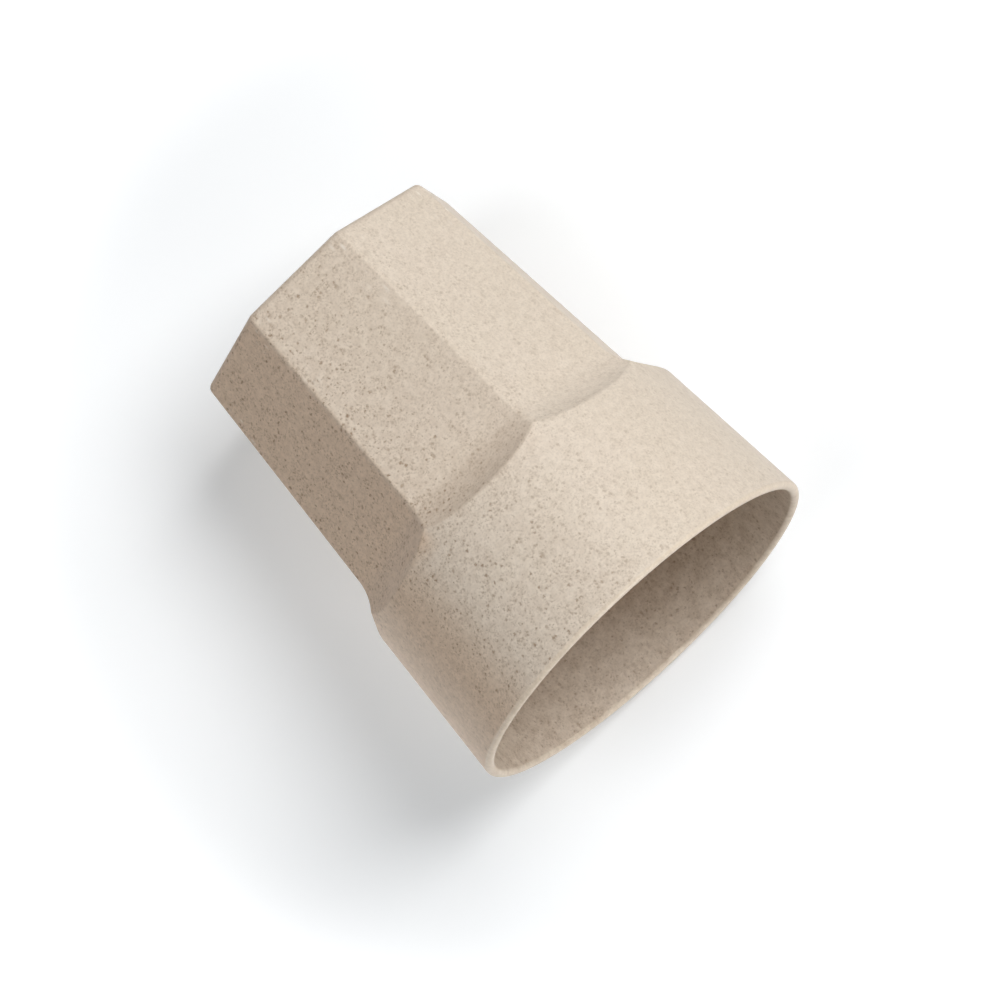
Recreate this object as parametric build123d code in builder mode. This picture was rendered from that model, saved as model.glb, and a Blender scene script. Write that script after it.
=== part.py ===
"""Rice husk fibre cup.

The cup is one moulded piece: a lower body with flat facets, and above it a
round collar that leans out to a rounded lip.  Each flat curves outwards at its
top and runs out on the collar along an arch.

Frame: +Z points up, out of the mouth.  The origin is the centre of the face
that the cup stands on.  The first facet faces +X.
"""

from build123d import *

import math
import os

# Whole cup.  Lengths are in millimetres and angles in degrees.
cup_height = 91.5
rim_diameter = 80.0
wall_thickness = 2.0
floor_thickness = 2.6

# Round collar: the lean of its wall, and the rounding of each side of the lip
collar_draft = 4.6
lip_radius = 0.95

# Faceted body: its flats, how deep they are cut below the collar's cone at
# the foot, and their lean
facet_count = 8
facet_depth = 4.7
facet_draft = 4.7

# Run-out of a flat: the height where it starts to curve out, and its curve
flare_start_height = 48.5
flare_radius = 12.5

# Rounded edges outside: creases and arches, and the edge round the foot
crease_radius = 0.9
heel_radius = 1.6

# Softer edges inside the cavity
cavity_crease_radius = 1.4
cavity_heel_radius = 3.0

# Underside: a shallow recess that leaves a ring to stand on
foot_ring_width = 5.0
foot_recess_depth = 0.8
foot_edge_radius = 0.4

# How far a cutting outline reaches past the material that it trims
overrun = 5.0

# Sizes that follow from the ones above
rim_radius = rim_diameter / 2
widest_height = cup_height - lip_radius
facet_turn = 360 / facet_count


def collar_radius(height, inset):
    """Radius of the collar's cone at a height, drawn in by the thickness of a wall."""
    lean = math.radians(collar_draft)
    return rim_radius - (widest_height - height) * math.tan(lean) - inset / math.cos(lean)


def facet_apothem(height, inset):
    """Distance of a flat from the cup's axis at a height, drawn in by a wall."""
    lean = math.radians(facet_draft)
    foot_apothem = collar_radius(0, 0) - facet_depth
    return foot_apothem + height * math.tan(lean) - inset / math.cos(lean)


def flare_outline(bottom, inset):
    """Outline between two opposite flats, with sides that curve out at the top."""
    lean = math.radians(facet_draft)
    centre_x = facet_apothem(flare_start_height, 0) + flare_radius * math.cos(lean)
    centre_z = flare_start_height - flare_radius * math.sin(lean)
    radius = flare_radius + inset
    foot = (facet_apothem(bottom, inset), bottom)
    start = (centre_x - radius * math.cos(lean), centre_z + radius * math.sin(lean))
    end = (centre_x, centre_z + radius)
    reach = max(rim_radius, centre_x) + overrun
    top = cup_height + overrun
    with BuildSketch() as outline:
        with BuildLine():
            Line((0, bottom), foot)
            side = Line(foot, start)
            TangentArc(start, end, tangent=side % 1)
            Polyline(end, (reach, end[1]), (reach, top), (0, top))
            mirror(about=Plane.YZ)
        make_face()
    return outline.sketch


def cup_form(bottom, inset, edge_radius, foot_radius):
    """Solid in the cup's shape, from a height up to the rim, drawn in by a wall."""
    with BuildPart() as form:
        with BuildSketch(Plane.XZ):
            with BuildLine():
                Polyline(
                    (0, bottom),
                    (collar_radius(bottom, inset), bottom),
                    (collar_radius(cup_height, inset), cup_height),
                    (0, cup_height),
                    close=True,
                )
            make_face()
        revolve(axis=Axis.Z)
        for index in range(facet_count // 2):
            with BuildSketch(Plane.XZ.rotated((0, 0, index * facet_turn))):
                add(flare_outline(bottom, inset))
            extrude(amount=rim_radius + overrun, both=True, mode=Mode.INTERSECT)

        # Creases and arches are the edges that aren't level.  The highest of
        # those is the seam of the round collar, which has nothing to round.
        climbing_edges = form.edges().filter_by(Plane.XY, reverse=True)
        fillet(climbing_edges.sort_by(Axis.Z)[:-1], edge_radius)
        fillet(form.edges().group_by(Axis.Z)[0], foot_radius)
    return form.part


outer_form = cup_form(0, 0, crease_radius, heel_radius)
cavity_form = cup_form(floor_thickness, wall_thickness, cavity_crease_radius, cavity_heel_radius)

with BuildPart() as cup:
    add(outer_form)
    add(cavity_form, mode=Mode.SUBTRACT)

    # Lip, rounded over from both sides of the wall
    fillet(cup.edges().group_by(Axis.Z)[-1], lip_radius)

    # Recess under the foot, with a softened edge
    with BuildSketch(Plane.XY):
        Circle(facet_apothem(0, 0) - foot_ring_width)
    extrude(amount=foot_recess_depth, mode=Mode.SUBTRACT)
    recess_edge = cup.edges().group_by(Axis.Z)[0].filter_by(GeomType.CIRCLE)
    fillet(recess_edge, foot_edge_radius)

cup.part.label = "cup"

os.makedirs("parts", exist_ok=True)
export_step(cup.part, "parts/cup.step")
print(f"cup: {cup.part.volume:.0f} mm3, {cup_height} mm tall")
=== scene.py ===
# %% [markdown]
# # A drinking cup moulded in rice husk fibre
#
# The cup is one piece: ground rice husk and a plant resin pressed in a hot
# steel mould.  Its lower body has eight flats, its collar is round, and each
# flat runs out on the collar along an arch.  The shape comes from the CAD
# model, so this lesson is about finish, light and camera.  Everything is in
# metres, with the cup standing on the origin and its mouth towards +Z.

import math

import bpy
from mathutils import Matrix, Vector


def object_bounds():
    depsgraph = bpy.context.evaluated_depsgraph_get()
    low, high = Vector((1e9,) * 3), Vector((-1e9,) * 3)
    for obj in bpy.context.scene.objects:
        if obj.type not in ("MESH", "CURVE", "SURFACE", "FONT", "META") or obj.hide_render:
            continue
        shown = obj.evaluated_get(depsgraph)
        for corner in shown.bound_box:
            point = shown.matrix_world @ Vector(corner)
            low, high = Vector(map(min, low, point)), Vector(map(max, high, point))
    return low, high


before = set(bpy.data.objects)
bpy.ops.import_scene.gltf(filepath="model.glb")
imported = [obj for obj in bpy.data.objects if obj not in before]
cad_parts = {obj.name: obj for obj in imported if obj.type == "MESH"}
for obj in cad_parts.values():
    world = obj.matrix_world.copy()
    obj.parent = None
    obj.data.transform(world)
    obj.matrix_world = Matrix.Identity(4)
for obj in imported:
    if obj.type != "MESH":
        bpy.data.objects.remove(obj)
cad_low, cad_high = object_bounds()

MM = 0.001
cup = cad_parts["cup"]
rim_radius = (cad_high.x - cad_low.x) / 2
cup_height = cad_high.z
print(f"cup: rim {rim_radius / MM * 2:.1f} mm across, {cup_height / MM:.1f} mm tall")

# %% [markdown]
# ## Camera
#
# The picture was taken from nearly straight above a cup that lies on its
# side.  The cup stays upright here, so the camera does the lying down: it is
# turned about its own line of sight until the mouth points to the lower right.
# A long lens far away gives the flat perspective of a product picture.  Three
# turns in a row are easier to read than a matrix of nine numbers: round the
# cup, up from level, and the roll about the line of sight.

# %% Camera
view_azimuth = math.radians(-4.6184)
view_elevation = math.radians(12.7799)
view_roll = math.radians(136.8096)
view_distance = 1600 * MM
view_target = Vector((0, 0, 50 * MM))
view_offset = Vector((0.1419 * MM, -4.3874 * MM, view_distance))
lens_mm = 302.0

view_turn = (
    Matrix.Rotation(view_azimuth, 3, "Z")
    @ Matrix.Rotation(math.pi / 2 - view_elevation, 3, "X")
    @ Matrix.Rotation(view_roll, 3, "Z")
)
picture_right, picture_up, picture_back = view_turn.col[0], view_turn.col[1], view_turn.col[2]

camera_data = bpy.data.cameras.new("camera")
camera_data.lens = lens_mm
camera_data.clip_end = 20.0
camera = bpy.data.objects.new("camera", camera_data)
bpy.context.scene.collection.objects.link(camera)
camera.matrix_world = Matrix.Translation(view_target + view_turn @ view_offset) @ view_turn.to_4x4()
bpy.context.scene.camera = camera
print("camera at", [round(value, 3) for value in camera.matrix_world.translation])

# %% [markdown]
# ## Floor
#
# A cup on its side rests on two places: the heel of one flat, and the
# shoulder where the collar starts.  The rim hangs a little clear.  The floor
# is a slanted plane through those two places, behind the cup as the camera
# sees it.  Its lean is measured on the cup's own points: seen from the heel,
# it is the steepest line to any point higher up.  One flat face far larger
# than the picture is enough, because a sweep of paper would look the same.

# %% Floor plane
import bmesh

heel_zone = 3 * MM
points = [vertex.co for vertex in cup.data.vertices]
heel = max((point for point in points if point.z < heel_zone), key=lambda point: point.y)
floor_lean = max(
    math.atan2(point.y - heel.y, point.z - heel.z) for point in points if point.z > 2 * heel_zone
)
floor_gap = 0.1 * MM
floor_half_width = 3.0

floor_mesh = bmesh.new()
bmesh.ops.create_grid(floor_mesh, x_segments=1, y_segments=1, size=floor_half_width)
floor_turn = Matrix.Rotation(math.pi / 2 - floor_lean, 3, "X")
bmesh.ops.rotate(floor_mesh, verts=floor_mesh.verts, matrix=floor_turn)
bmesh.ops.translate(floor_mesh, verts=floor_mesh.verts, vec=(0, heel.y + floor_gap, heel.z))
floor_data = bpy.data.meshes.new("floor")
floor_mesh.to_mesh(floor_data)
floor_mesh.free()
floor = bpy.data.objects.new("floor", floor_data)
bpy.context.scene.collection.objects.link(floor)
print(f"floor leans {math.degrees(floor_lean):.2f} degrees")

# %% [markdown]
# ## Floor paper
#
# The floor is white paper that takes the cup's soft shadow.  Its back is
# see-through, so that the cup can also be looked at from the far side.  What
# the camera sees of it gets a little light of its own, which opens the
# shadow as a photographer's second exposure would, and puts no light on the
# cup.  The paper itself is left out of the cup's own light and shade, so the
# lamps alone decide how bright the cup is.

# %% Helper that adds a shader node
def add_node(tree, kind, inputs=None, **settings):
    """Adds a node, sets its properties, and fills or links its inputs by name or number."""
    node = tree.nodes.new(kind)
    for name, value in settings.items():
        setattr(node, name, value)
    for key, value in (inputs or {}).items():
        if isinstance(value, bpy.types.NodeSocket):
            tree.links.new(value, node.inputs[key])
        else:
            node.inputs[key].default_value = value
    return node


def math_node(tree, operation, first, second=0.0):
    """Output of a Math node."""
    return add_node(tree, "ShaderNodeMath", {0: first, 1: second}, operation=operation).outputs[0]


# %% Floor material
paper_lift = 0.105
cool_white = (0.80, 1.0, 1.16, 1)
shadow_reach = 92 * MM
white_reach = 165 * MM


def floor_paper():
    """White paper, lit and shadowed on its front, see-through from behind."""
    material = bpy.data.materials.new("floor_paper")
    material.use_nodes = True
    tree = material.node_tree
    tree.nodes.clear()
    paper = add_node(tree, "ShaderNodeBsdfDiffuse", {"Color": (1, 1, 1, 1)})
    camera_ray = add_node(tree, "ShaderNodeLightPath").outputs["Is Camera Ray"]
    strength = math_node(tree, "MULTIPLY", camera_ray, paper_lift)
    lift = add_node(tree, "ShaderNodeEmission", {"Color": cool_white, "Strength": strength})
    place = add_node(tree, "ShaderNodeTexCoord").outputs["Object"]
    away = add_node(tree, "ShaderNodeVectorMath", {0: place, 1: view_target}, operation="DISTANCE").outputs["Value"]
    far = add_node(tree, "ShaderNodeMapRange", {0: away, 1: shadow_reach, 2: white_reach},
                   interpolation_type="SMOOTHSTEP").outputs[0]
    # Further out than the shadow reaches, the camera sees the paper glow up to plain white; this painted glow also
    # fades the shadow's outer end.
    plain = add_node(tree, "ShaderNodeEmission", {
        "Color": (1, 1, 1, 1), "Strength": math_node(tree, "MULTIPLY", camera_ray, far),
    })
    glow = add_node(tree, "ShaderNodeAddShader", {0: lift.outputs[0], 1: plain.outputs[0]})
    front = add_node(tree, "ShaderNodeAddShader", {0: paper.outputs[0], 1: glow.outputs[0]})
    nothing = add_node(tree, "ShaderNodeBsdfTransparent")
    side = add_node(tree, "ShaderNodeNewGeometry").outputs["Backfacing"]
    mix = add_node(tree, "ShaderNodeMixShader", {0: side, 1: front.outputs[0], 2: nothing.outputs[0]})
    add_node(tree, "ShaderNodeOutputMaterial", {"Surface": mix.outputs[0]})
    return material


floor_data.materials.append(floor_paper())
floor_data.materials[0].cycles.emission_sampling = "NONE"
floor.visible_shadow = False
floor.visible_diffuse = False

# %% [markdown]
# ## World
#
# The world does two jobs that a studio splits.  As a light it stands in for
# what white paper throws back: from behind the floor it is a middling grey,
# and on the studio's side nearly black, because the lamps do that work.  As a
# background it is plain white, which the Light Path node gives to what the
# camera sees and to what shows in reflections.  The Standard view keeps
# colours as they are written.

# %% World
studio_fill = 0.04
paper_fill = 0.50
backdrop_white = 1.0
fill_edge = 0.1
floor_normal = floor_turn @ Vector((0, 0, 1))

bpy.context.scene.view_settings.view_transform = "Standard"
world = bpy.data.worlds.new("studio")
world.use_nodes = True
bpy.context.scene.world = world
tree = world.node_tree
tree.nodes.clear()
direction = add_node(tree, "ShaderNodeTexCoord").outputs["Generated"]
above_floor = add_node(tree, "ShaderNodeVectorMath", {0: direction, 1: floor_normal}, operation="DOT_PRODUCT")
fill_level = add_node(tree, "ShaderNodeMapRange", {
    0: above_floor.outputs["Value"], 1: -fill_edge, 2: fill_edge, 3: paper_fill, 4: studio_fill,
}).outputs[0]
fill = add_node(tree, "ShaderNodeBackground", {"Color": (1, 1, 1, 1), "Strength": fill_level})
white = add_node(tree, "ShaderNodeBackground", {"Color": (1, 1, 1, 1), "Strength": backdrop_white})
ray = add_node(tree, "ShaderNodeLightPath").outputs
seen = math_node(tree, "MAXIMUM", ray["Is Camera Ray"], ray["Is Glossy Ray"])
seen = math_node(tree, "MAXIMUM", seen, ray["Is Transmission Ray"])
mix = add_node(tree, "ShaderNodeMixShader", {0: seen, 1: fill.outputs[0], 2: white.outputs[0]})
add_node(tree, "ShaderNodeOutputWorld", {"Surface": mix.outputs[0]})

# %% [markdown]
# ## Lamps
#
# Four large round soft boxes stand round the cup.  The key comes from above
# right in the picture and gives the shadow its side.  A low one at the right
# skims the bright flat, one in front of the mouth reaches into the cup, and a
# weak one at the left opens the dark flat.  Directions are written as the
# picture shows them: to the right, up, and towards the camera.  A level of 1
# lights a surface that faces the lamp so that a colour shows as written, and
# together the lamps come to about that level.

# %% Soft boxes
lamp_distance = 1.2


def soft_box(name, direction, size, level, color=(1, 1, 1)):
    """Round lamp that lights a surface facing it at a level."""
    lamp_data = bpy.data.lights.new(name, "AREA")
    lamp_data.shape = "DISK"
    lamp_data.size = size
    lamp_data.energy = level * math.pi ** 2 * lamp_distance ** 2
    lamp_data.color = color
    lamp = bpy.data.objects.new(name, lamp_data)
    bpy.context.scene.collection.objects.link(lamp)
    right, up, back = direction
    towards = (right * picture_right + up * picture_up + back * picture_back).normalized()
    lamp.location = view_target + towards * lamp_distance
    lamp.rotation_mode = "QUATERNION"
    lamp.rotation_quaternion = towards.to_track_quat("Z", "Y")
    print(f"{name} shines from", [round(value, 2) for value in towards])
    return lamp


soft_box("key", (0.28, 0.44, 0.85), 0.75, 0.765)
soft_box("skim", (0.80, 0.55, 0.25), 0.80, 0.20)
soft_box("mouth_fill", (0.64, -0.72, 0.26), 0.60, 0.60)
soft_box("left_fill", (-0.58, -0.165, 0.80), 0.90, 0.275)
soft_box("paper_bounce", (-0.46, -0.49, -0.74), 0.60, 0.26, (1.0, 0.93, 0.84))

# %% [markdown]
# ## Tools for the finish
#
# A painted picture of the surface would need unwrapping, and would stretch
# on the flares.  So the finish is all texture nodes on the cup's own
# coordinates: they cut through the wall as real grains do, and their sizes
# are written in millimetres.  A few helpers keep the node code short.

# %% Helpers for a finish
def ramp(tree, value, start, end, low=0.0, high=1.0):
    """Smooth step from low to high, while the value goes from start to end."""
    node = add_node(tree, "ShaderNodeMapRange", {0: value, 1: start, 2: end, 3: low, 4: high},
                    interpolation_type="SMOOTHSTEP")
    return node.outputs[0]


def blend_colors(tree, factor, first, second, how="MIX"):
    """Colour output of a Mix node."""
    node = add_node(tree, "ShaderNodeMix", {0: factor, 6: first, 7: second}, data_type="RGBA", blend_type=how)
    return node.outputs[2]


def cloud(tree, place, size, detail=2.0, seed=0.0):
    """Soft noise from 0 to 1, with features of about a size in metres."""
    moved = add_node(tree, "ShaderNodeVectorMath", {0: place, 1: (seed, seed, seed)}, operation="ADD")
    noise = add_node(tree, "ShaderNodeTexNoise", {"Vector": moved.outputs[0], "Scale": 1 / size, "Detail": detail})
    return noise.outputs["Fac"]


def shade(tree, color, value):
    """Colour made lighter or darker by a value."""
    grey = add_node(tree, "ShaderNodeCombineColor", {0: value, 1: value, 2: value}).outputs[0]
    return blend_colors(tree, 1.0, color, grey, how="MULTIPLY")


# %% [markdown]
# ## Places on the cup
#
# Some of the finish belongs to a place: the lip is polished clean, the
# creases between the flats are rubbed, and the inside is browner and
# painted darker further down, as painted shade.  Vertex painting could mark
# these, but the marks would be as coarse as the mesh.  Here each place is a
# mask from 0 to 1, worked out from height, from distance to the axis and from
# the way the surface faces.  Two more values say how far a point faces the
# side of the cup that the key lamp lights and the side in shade; the painted
# light and shade follow them.

# %% Masks for places
flat_count = 8
crease_top = 52 * MM
arch_top = 61 * MM
lip_band = 1.2 * MM
dust_size = 0.42 * MM
axis_blend = 24 * MM
towards_light = (-0.94, -0.34, 0)
towards_shade = (0.94, -0.34, 0)


def places(tree, coordinates):
    """Sockets with the place itself, its height and side, and masks for parts of the cup."""
    place = coordinates.outputs["Object"]
    x, y, z = add_node(tree, "ShaderNodeSeparateXYZ", {0: place}).outputs[:3]
    across = add_node(tree, "ShaderNodeCombineXYZ", {0: x, 1: y}).outputs[0]
    radius = add_node(tree, "ShaderNodeVectorMath", {0: across}, operation="LENGTH").outputs["Value"]
    shrink = math_node(tree, "DIVIDE", 1.0, math_node(tree, "MAXIMUM", radius, axis_blend))
    outward = add_node(tree, "ShaderNodeVectorMath", {0: across, "Scale": shrink}, operation="SCALE").outputs[0]
    faces_out = add_node(tree, "ShaderNodeVectorMath", {0: outward, 1: coordinates.outputs["Normal"]},
                         operation="DOT_PRODUCT").outputs["Value"]
    facing_up = add_node(tree, "ShaderNodeSeparateXYZ", {0: coordinates.outputs["Normal"]}).outputs[2]
    bottom = math_node(tree, "MULTIPLY", ramp(tree, facing_up, 0.2, 0.6),
                       ramp(tree, z, cup_height - 3 * MM, cup_height - 4 * MM))
    inside = math_node(tree, "MAXIMUM", ramp(tree, faces_out, 0.25, -0.25), bottom)
    outside = math_node(tree, "SUBTRACT", 1.0, inside)

    lit_side, shaded_side = (
        math_node(tree, "MULTIPLY", outside, add_node(
            tree, "ShaderNodeVectorMath", {0: outward, 1: way}, operation="DOT_PRODUCT").outputs["Value"])
        for way in (towards_light, towards_shade)
    )

    turn = math_node(tree, "DIVIDE", math_node(tree, "ARCTAN2", y, x), 2 * math.pi / flat_count)
    off_crease = math_node(tree, "SUBTRACT", math_node(tree, "FRACT", turn), 0.5)
    off_crease = math_node(tree, "ABSOLUTE", math_node(tree, "MULTIPLY", off_crease, 2 * math.pi / flat_count))
    off_crease = math_node(tree, "MULTIPLY", off_crease, radius)
    below_collar = ramp(tree, z, crease_top, crease_top - 8 * MM)
    on_body = math_node(tree, "MULTIPLY", below_collar, outside)

    fine = add_node(tree, "ShaderNodeTexNoise", {"Vector": place, "Scale": 1 / dust_size, "Detail": 1.5})

    return {
        "place": place,
        "dust": fine.outputs["Fac"],
        "dust_color": fine.outputs["Color"],
        "height": z,
        "lit_side": lit_side,
        "shaded_side": shaded_side,
        "inside": inside,
        "outside": outside,
        "off_crease": off_crease,
        "on_body": on_body,
        "flats": ramp(tree, z, arch_top, arch_top - 6 * MM),
        "flare": math_node(tree, "MULTIPLY", ramp(tree, facing_up, -0.14, -0.42), outside),
        "crowd": cloud(tree, place, 2.8 * MM, detail=1.0, seed=0.3),
        "lip": ramp(tree, z, cup_height - lip_band, cup_height - 0.5 * lip_band),
        "heel": ramp(tree, z, 1.4 * MM, 0.6 * MM),
        "standing_edge": ramp(tree, z, 0.45 * MM, 0.20 * MM),
    }


# %% [markdown]
# ## Grains of husk
#
# Husk composite is pale resin full of ground rice husk.  Most grains are dust
# that only mottles the colour, some are flakes a few tenths of a millimetre
# across, and a few are longer slivers.  Voronoi cells give each grain a point
# of its own, and the three random numbers of a cell decide whether its grain
# is there, how big it is and how dark.  Wobbling the coordinates first makes
# the grains ragged, and a cloud of a few millimetres crowds them in places.

# %% Grains
def grains(tree, place, crowd, spacing, radius, share, seed, stretch=(1, 1, 1), turn=(0, 0, 0)):
    """Mask of scattered grains.  Only a share of the cells has one, and sizes and depths differ."""
    moved = add_node(tree, "ShaderNodeMapping", {
        "Vector": place, "Location": (seed, seed * 0.7, seed * 1.3), "Rotation": turn, "Scale": stretch,
    }).outputs[0]
    cells = add_node(tree, "ShaderNodeTexVoronoi", {"Vector": moved, "Scale": 1 / spacing})
    draw = add_node(tree, "ShaderNodeSeparateColor", {0: cells.outputs["Color"]}).outputs
    reach = ramp(tree, draw[1], 0, 1, 0.6 * radius / spacing, 1.4 * radius / spacing)
    core = math_node(tree, "MULTIPLY", reach, 0.22)
    spot = ramp(tree, cells.outputs["Distance"], core, reach, 1.0, 0.0)
    limit = math_node(tree, "MULTIPLY", crowd, share)
    here = ramp(tree, math_node(tree, "SUBTRACT", limit, draw[0]), 0.0, 0.08)
    depth = ramp(tree, draw[2], 0, 1, 0.45, 0.95)
    return math_node(tree, "MULTIPLY", math_node(tree, "MULTIPLY", spot, here), depth)


def husk_grains(tree, spot):
    """Mask of all dark grains: dust, fine ones, flakes and slivers."""
    crowd = ramp(tree, spot["crowd"], 0.32, 0.68, 0.45, 1.30)
    centred = add_node(tree, "ShaderNodeVectorMath", {0: spot["dust_color"], 1: (0.5, 0.5, 0.5)},
                       operation="SUBTRACT").outputs[0]
    wobble = add_node(tree, "ShaderNodeVectorMath", {0: centred, "Scale": 0.85 * MM}, operation="SCALE").outputs[0]
    ragged = add_node(tree, "ShaderNodeVectorMath", {0: spot["place"], 1: wobble}, operation="ADD").outputs[0]
    dust = math_node(tree, "MULTIPLY", ramp(tree, spot["dust"], 0.46, 0.30), crowd)
    layers = (
        (dust, 0.18),
        (grains(tree, ragged, crowd, 0.62 * MM, 0.28 * MM, 0.78, 0.013), 0.52),
        (grains(tree, ragged, crowd, 1.00 * MM, 0.39 * MM, 0.80, 0.029), 0.66),
        (grains(tree, ragged, crowd, 2.1 * MM, 0.40 * MM, 0.50, 0.041, (1, 1, 0.4), (0.6, 0.3, 0.2)), 0.6),
    )
    total = 0.0
    for mask, strength in layers:
        total = math_node(tree, "MAXIMUM", math_node(tree, "MULTIPLY", mask, strength), total)
    return total


# %% [markdown]
# ## Resin, wear and the whole finish
#
# The resin drifts between a creamy and a pinker beige over a few centimetres,
# and is mottled by dust.  Light and shade are painted in as well: the side
# that faces the key lamp is painted paler, with fainter grains, and the side
# in shade is painted deeper, browner and more speckled.  At the collar's
# shaded end the grains are painted fainter for light thrown back by the
# paper.  The hollows of the flares and the heel carry painted shade, and the
# inside is painted darker and browner further down.  Rubbing shows as pale,
# broken lines on the creases and as short scuffs along the cup near its foot,
# and the standing edge is painted pale for light thrown back by the paper.
# The lip is clean and smooth.  All of this feeds one Principled shader:
# matte, a little smoother on the lip and where it is worn or painted pale,
# with a fine pebbled bump.

# %% Resin
cream = (0.728, 0.633, 0.526, 1)
warm_cream = (0.720, 0.627, 0.518, 1)
# Deeper beige, painted on the side in shade as painted shade.
painted_shade_beige = (0.692, 0.534, 0.400, 1)
lip_cream = (0.650, 0.556, 0.446, 1)
# Browner tone for the painted shade in the flare hollows and at the heel.
painted_shade_brown = (0.520, 0.410, 0.320, 1)
# Browner tone inside the cup, mostly painted shade further down.
inside_shade_brown = (0.590, 0.463, 0.355, 1)
husk_brown = (0.260, 0.155, 0.080, 1)
husk_dark = (0.180, 0.105, 0.050, 1)
# Pale of rubbing, also used for the painted light on the standing edge.
pale_rub_and_edge_light = (0.840, 0.770, 0.680, 1)


def painted_shade_side(tree, spot):
    """Mask of painted shade on the side in shade: one flat, a little of its neighbour, and the collar above them.
    """
    flat = math_node(tree, "MAXIMUM", ramp(tree, spot["shaded_side"], 0.64, 0.71),
                     ramp(tree, spot["lit_side"], 0.72, 0.64, 0.0, 0.14))
    flat = math_node(tree, "MULTIPLY", flat, spot["flats"])
    collar = ramp(tree, spot["shaded_side"], 0.70, 0.94)
    return math_node(tree, "MULTIPLY", math_node(tree, "MAXIMUM", flat, collar), spot["outside"])


def resin(tree, spot):
    """Colour of the resin with its dust and its painted shade, before any husk grain or worn mark."""
    place = spot["place"]
    drift = ramp(tree, cloud(tree, place, 16 * MM, detail=1.0, seed=0.7), 0.35, 0.65)
    color = blend_colors(tree, drift, cream, warm_cream)
    # Painted shade: the side in shade turns a deeper beige.
    color = blend_colors(tree, painted_shade_side(tree, spot), color, painted_shade_beige)
    # Painted shade: the inside is a little browner near the lip, and darker and browner further down.
    depth_shade = ramp(tree, spot["height"], cup_height - 5 * MM, cup_height - 34 * MM, 0.15, 0.90)
    color = blend_colors(tree, math_node(tree, "MULTIPLY", spot["inside"], depth_shade), color, inside_shade_brown)
    color = blend_colors(tree, spot["lip"], color, lip_cream)
    # Painted shade: browner in the downward-facing hollows of the flares, except on the flats the key lamp lights,
    # and in a band round the heel.
    hollow_and_heel_shade = math_node(tree, "MULTIPLY", spot["flare"], ramp(tree, spot["lit_side"], 0.72, 0.58, 0.0, 0.32))
    hollow_and_heel_shade = math_node(tree, "MAXIMUM", hollow_and_heel_shade, math_node(tree, "MULTIPLY", spot["heel"], 0.25))
    color = blend_colors(tree, hollow_and_heel_shade, color, painted_shade_brown)

    # Brown mottling, which is real, made stronger towards the side in shade as painted shade.
    mottle_and_shade = ramp(tree, cloud(tree, place, 1.3 * MM, detail=1.5), 0.75, 0.25)
    mottle_and_shade = math_node(tree, "MULTIPLY", mottle_and_shade, ramp(tree, spot["lit_side"], 1.0, -0.2, 0.12, 0.20))
    cloudy = math_node(tree, "MULTIPLY", ramp(tree, spot["crowd"], 0.35, 0.65, 0.0, 0.12), spot["inside"])
    color = blend_colors(tree, math_node(tree, "ADD", mottle_and_shade, cloudy), color, husk_brown)
    return shade(tree, color, ramp(tree, spot["dust"], 0.25, 0.75, 0.95, 1.05))


# %% Wear and painted edge light
def rubbed_and_edge_light(tree, spot):
    """Mask of what is pale: rubbing in broken lines on the creases and scuffs near the foot, and painted light on
    the standing edge.
    """
    place = spot["place"]
    breaks = ramp(tree, cloud(tree, place, 2.5 * MM, detail=1.0, seed=0.9), 0.55, 0.75)
    crease = ramp(tree, spot["off_crease"], 0.6 * MM, 0.1 * MM)
    crease = math_node(tree, "MULTIPLY", crease, spot["on_body"])
    lines = math_node(tree, "MULTIPLY", math_node(tree, "MULTIPLY", crease, breaks), 0.18)
    # Painted light: a pale band on the standing edge, for light thrown back by the paper.
    lines = math_node(tree, "MAXIMUM", lines, math_node(tree, "MULTIPLY", spot["standing_edge"], 0.35))

    near_foot = ramp(tree, spot["height"], 26 * MM, 6 * MM)
    near_crease = ramp(tree, spot["off_crease"], 4.5 * MM, 2.0 * MM)
    zone = math_node(tree, "MULTIPLY", math_node(tree, "MULTIPLY", near_foot, near_crease), spot["on_body"])
    scuffs = grains(tree, place, 1.0, 1.2 * MM, 0.36 * MM, 0.9, 0.057, (1, 1, 0.32))
    return math_node(tree, "MAXIMUM", lines, math_node(tree, "MULTIPLY", scuffs, zone))


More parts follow.
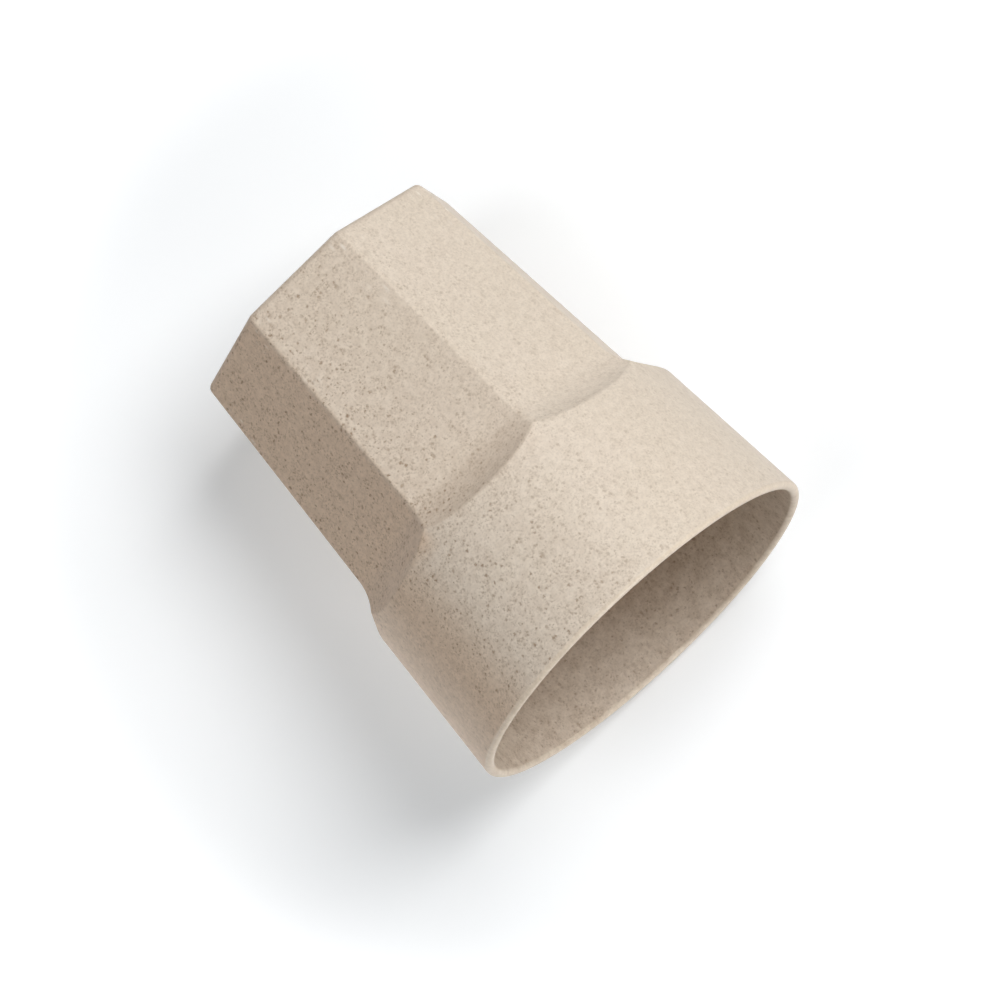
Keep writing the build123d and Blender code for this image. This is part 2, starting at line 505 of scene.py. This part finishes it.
# %% Finish of the cup
def husk_composite():
    """Matte speckled composite, with its grains, mottling, clean lip and rubbing on the creases, and with painted
    light and shade on its sides, hollows, heel and inside.
    """
    material = bpy.data.materials.new("husk_composite_finish")
    material.use_nodes = True
    tree = material.node_tree
    shader = tree.nodes["Principled BSDF"]
    spot = places(tree, add_node(tree, "ShaderNodeTexCoord"))
    place = spot["place"]

    color = resin(tree, spot)
    specks = husk_grains(tree, spot)
    # Painted light: the grains are painted fainter on the side that the key lamp lights, and stronger on the side
    # in shade.
    strength = ramp(tree, spot["lit_side"], 1.22, -0.22, 0.34, 1.35)
    on_collar = math_node(tree, "SUBTRACT", 1.0, spot["flats"])
    # Painted light: towards the collar's shaded end the grains are painted fainter, for light thrown back by the
    # paper.
    bounce_paling = math_node(tree, "MULTIPLY", ramp(tree, spot["shaded_side"], 0.84, 0.99, 0.0, 0.55), on_collar)
    strength = math_node(tree, "MULTIPLY", strength, math_node(tree, "SUBTRACT", 1.0, bounce_paling))
    softer = math_node(tree, "MAXIMUM", math_node(tree, "MULTIPLY", spot["lip"], 0.85),
                       math_node(tree, "MULTIPLY", spot["inside"], 0.3))
    strength = math_node(tree, "MULTIPLY", strength, math_node(tree, "SUBTRACT", 1.0, softer))
    specks = math_node(tree, "MULTIPLY", specks, strength)
    husk = blend_colors(tree, ramp(tree, spot["dust"], 0.4, 0.6), husk_brown, husk_dark)
    color = blend_colors(tree, specks, color, husk)

    rub_and_edge_light = rubbed_and_edge_light(tree, spot)
    color = blend_colors(tree, rub_and_edge_light, color, pale_rub_and_edge_light)
    tree.links.new(color, shader.inputs["Base Color"])
    shader.inputs["Specular IOR Level"].default_value = 0.4

    roughness = ramp(tree, spot["dust"], 0.2, 0.8, 0.42, 0.52)
    smoother = math_node(tree, "MULTIPLY", math_node(tree, "MAXIMUM", rub_and_edge_light, spot["lip"]), 0.05)
    tree.links.new(math_node(tree, "SUBTRACT", roughness, smoother), shader.inputs["Roughness"])
    bump = add_node(tree, "ShaderNodeBump", {"Strength": 0.2, "Distance": 0.03 * MM, "Height": spot["dust"]})
    tree.links.new(bump.outputs[0], shader.inputs["Normal"])
    return material


cup.data.materials[0] = husk_composite()
